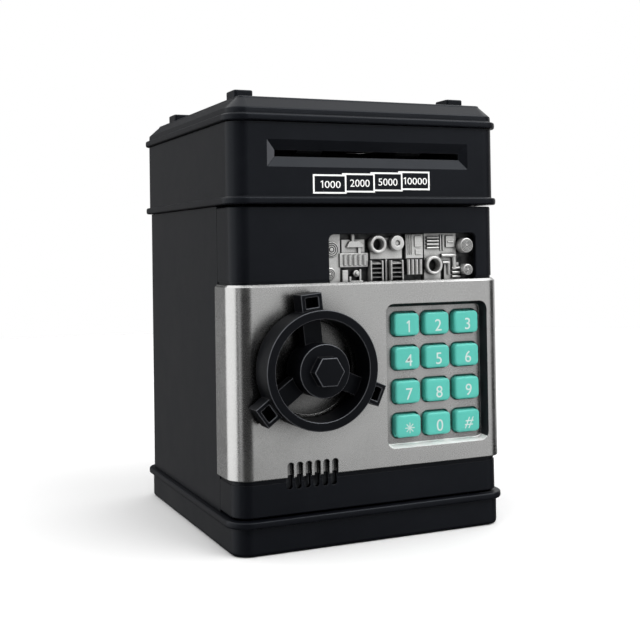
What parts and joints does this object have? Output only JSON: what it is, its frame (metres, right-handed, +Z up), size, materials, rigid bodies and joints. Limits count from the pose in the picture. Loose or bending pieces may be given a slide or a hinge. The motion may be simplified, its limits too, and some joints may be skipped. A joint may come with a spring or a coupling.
{
  "type": "toy cash machine savings bank",
  "caption": "Toy cash-machine savings bank: black case, hinged silver door with teal keypad, black handwheel lock, note slot, coin slot in the lid.",
  "frame": {"origin": "middle of the case's underside, on the surface it stands on", "axes": "+Z up, -Y out of the front (the door), +X to the right of someone facing the front"},
  "size_m": [0.1306, 0.1561, 0.1912],
  "materials": {
    "case_black": "satin black ABS, fine moulded texture",
    "plate_silver": "ABS with fine-grained metallic silver paint",
    "relief_metal": "moulded relief with vacuum-metallised grey finish",
    "wheel_black": "satin black ABS",
    "key_teal": "matt teal silicone rubber, pale printed numeral",
    "rubber_black": "matt black rubber",
    "inner_black": "plain black ABS",
    "gear_white": "natural acetal",
    "steel": "zinc-plated steel",
    "motor_can": null,
    "board_green": "green solder mask",
    "cell_wrap": null
  },
  "bodies": {
    "case": {"base_tray": "case_black", "battery_cover": "case_black", "battery_cover_screw": "steel", "battery_1": "cell_wrap", "battery_2": "cell_wrap", "battery_3": "cell_wrap", "battery_contact_left": "steel", "battery_contact_right": "steel", "base_screw_1": "steel", "base_screw_2": "steel", "base_screw_3": "steel", "base_screw_4": "steel", "body_shell": "case_black", "strike_plate": "steel", "top_housing": "case_black", "top_lid": "case_black", "coin_chute": "inner_black", "feeder_frame": "inner_black", "feed_motor": "motor_can", "main_pcb": "board_green", "hinge_pin_lower": "steel", "hinge_pin_upper": "steel"},
    "door": {"door_panel": "case_black", "face_plate": "plate_silver", "relief_panel": "relief_metal", "door_inner_cover": "inner_black", "keypad_mat": "rubber_black", "keypad_pcb": "board_green", "speaker": "inner_black", "lock_cover": "inner_black", "lock_solenoid": "motor_can", "door_screw_1": "steel", "door_screw_2": "steel", "door_screw_3": "steel", "door_screw_4": "steel"},
    "handwheel": {"handwheel": "wheel_black", "wheel_spindle": "inner_black", "latch_pinion": "gear_white"},
    "latch_bolt": {"latch_bolt": "gear_white"},
    "solenoid_plunger": {"solenoid_plunger": "steel"},
    "feed_shaft": {"feed_shaft": "steel", "feed_roller_left": "rubber_black", "feed_roller_right": "rubber_black", "feed_gear": "gear_white"},
    "pinch_shaft": {"pinch_shaft": "inner_black"},
    "idler_gear": {"idler_gear": "gear_white"},
    "motor_pinion": {"motor_pinion": "gear_white"},
    "key_1": {"key_1": "key_teal"},
    "key_2": {"key_2": "key_teal"},
    "key_3": {"key_3": "key_teal"},
    "key_4": {"key_4": "key_teal"},
    "key_5": {"key_5": "key_teal"},
    "key_6": {"key_6": "key_teal"},
    "key_7": {"key_7": "key_teal"},
    "key_8": {"key_8": "key_teal"},
    "key_9": {"key_9": "key_teal"},
    "key_star": {"key_star": "key_teal"},
    "key_0": {"key_0": "key_teal"},
    "key_hash": {"key_hash": "key_teal"}
  },
  "joints": [
    {"name": "door_hinge", "type": "hinge", "parent": "case", "child": "door", "pos_m": [0.0595, -0.0492, 0.0155], "axis": [0, 0, 1], "range_deg": [0, 100]},
    {"name": "wheel_turn", "type": "hinge", "parent": "door", "child": "handwheel", "pos_m": [-0.0304, -0.0834, 0.0755], "axis": [0, 1, 0], "range_deg": [0, 60]},
    {"name": "bolt_slide", "type": "slide", "parent": "door", "child": "latch_bolt", "axis": [-1, 0, 0], "range_m": [0, 0.0059]},
    {"name": "plunger_slide", "type": "slide", "parent": "door", "child": "solenoid_plunger", "axis": [0, 0, -1], "range_m": [0, 0.0025], "stiffness_N_per_m": 120},
    {"name": "press_1", "type": "slide", "parent": "door", "child": "key_1", "axis": [0, 1, 0], "range_m": [0, 0.001], "stiffness_N_per_m": 300},
    {"name": "press_2", "type": "slide", "parent": "door", "child": "key_2", "axis": [0, 1, 0], "range_m": [0, 0.001], "stiffness_N_per_m": 300},
    {"name": "press_3", "type": "slide", "parent": "door", "child": "key_3", "axis": [0, 1, 0], "range_m": [0, 0.001], "stiffness_N_per_m": 300},
    {"name": "press_4", "type": "slide", "parent": "door", "child": "key_4", "axis": [0, 1, 0], "range_m": [0, 0.001], "stiffness_N_per_m": 300},
    {"name": "press_5", "type": "slide", "parent": "door", "child": "key_5", "axis": [0, 1, 0], "range_m": [0, 0.001], "stiffness_N_per_m": 300},
    {"name": "press_6", "type": "slide", "parent": "door", "child": "key_6", "axis": [0, 1, 0], "range_m": [0, 0.001], "stiffness_N_per_m": 300},
    {"name": "press_7", "type": "slide", "parent": "door", "child": "key_7", "axis": [0, 1, 0], "range_m": [0, 0.001], "stiffness_N_per_m": 300},
    {"name": "press_8", "type": "slide", "parent": "door", "child": "key_8", "axis": [0, 1, 0], "range_m": [0, 0.001], "stiffness_N_per_m": 300},
    {"name": "press_9", "type": "slide", "parent": "door", "child": "key_9", "axis": [0, 1, 0], "range_m": [0, 0.001], "stiffness_N_per_m": 300},
    {"name": "press_star", "type": "slide", "parent": "door", "child": "key_star", "axis": [0, 1, 0], "range_m": [0, 0.001], "stiffness_N_per_m": 300},
    {"name": "press_0", "type": "slide", "parent": "door", "child": "key_0", "axis": [0, 1, 0], "range_m": [0, 0.001], "stiffness_N_per_m": 300},
    {"name": "press_hash", "type": "slide", "parent": "door", "child": "key_hash", "axis": [0, 1, 0], "range_m": [0, 0.001], "stiffness_N_per_m": 300},
    {"name": "feed_spin", "type": "hinge", "parent": "case", "child": "feed_shaft", "pos_m": [0, -0.052, 0.15785], "axis": [1, 0, 0], "continuous": true},
    {"name": "pinch_spin", "type": "hinge", "parent": "case", "child": "pinch_shaft", "pos_m": [0, -0.052, 0.16955], "axis": [1, 0, 0], "continuous": true},
    {"name": "idler_spin", "type": "hinge", "parent": "case", "child": "idler_gear", "pos_m": [0.051, -0.03283, 0.16085], "axis": [1, 0, 0], "continuous": true},
    {"name": "motor_spin", "type": "hinge", "parent": "case", "child": "motor_pinion", "pos_m": [0.051, -0.01666, 0.15985], "axis": [1, 0, 0], "continuous": true}
  ],
  "couplings": [
    {"joint": "bolt_slide", "follows": "wheel_turn", "m_per_rad": 0.0056},
    {"joint": "pinch_spin", "follows": "feed_spin", "ratio": -1.2},
    {"joint": "idler_spin", "follows": "feed_spin", "ratio": -0.71429},
    {"joint": "motor_spin", "follows": "feed_spin", "ratio": 1.6667}
  ]
}
